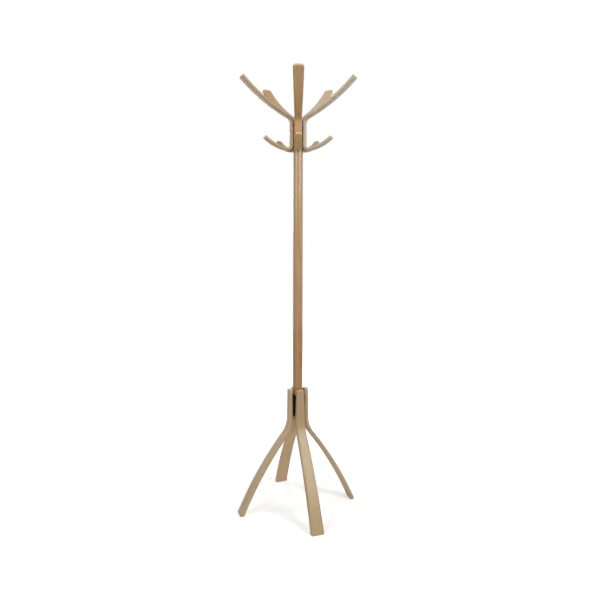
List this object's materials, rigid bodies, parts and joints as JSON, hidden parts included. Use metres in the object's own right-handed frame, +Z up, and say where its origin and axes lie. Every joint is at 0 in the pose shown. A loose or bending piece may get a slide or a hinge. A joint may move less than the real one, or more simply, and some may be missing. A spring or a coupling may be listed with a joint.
{
  "type": "standing coat rack",
  "caption": "Standing coat rack in pale bent wood: a round pole with a ring of C-shaped hooks at its head, carried by splayed bent legs on a black hub.",
  "frame": {"origin": "on the floor, on the pole's axis, in the middle of the four feet", "axes": "+Z up along the pole, -Y towards the front hook, +X to the right of someone who faces the front hook"},
  "size_m": [0.496, 0.496, 1.724],
  "materials": {
    "turned_beech": "turned and sanded, clear satin lacquer",
    "bent_beech": "bent strip, rounded edges, clear satin lacquer",
    "dowel_beech": "plain fluted dowel, glued",
    "black_lacquer": "hardwood block, black satin lacquer",
    "zinc_steel": "bright zinc plating",
    "insert_brass": "turned brass"
  },
  "bodies": {
    "root": {"pole": "turned_beech", "hook_front": "bent_beech", "hook_right": "bent_beech", "hook_back_right": "bent_beech", "hook_back_left": "bent_beech", "hook_left": "bent_beech", "leg_front": "bent_beech", "leg_right": "bent_beech", "leg_back": "bent_beech", "leg_left": "bent_beech", "hub": "black_lacquer", "hook_dowels": "dowel_beech", "leg_dowels": "dowel_beech", "pole_bolt": "zinc_steel", "bolt_washer": "zinc_steel", "pole_insert": "insert_brass"}
  },
  "joints": []
}
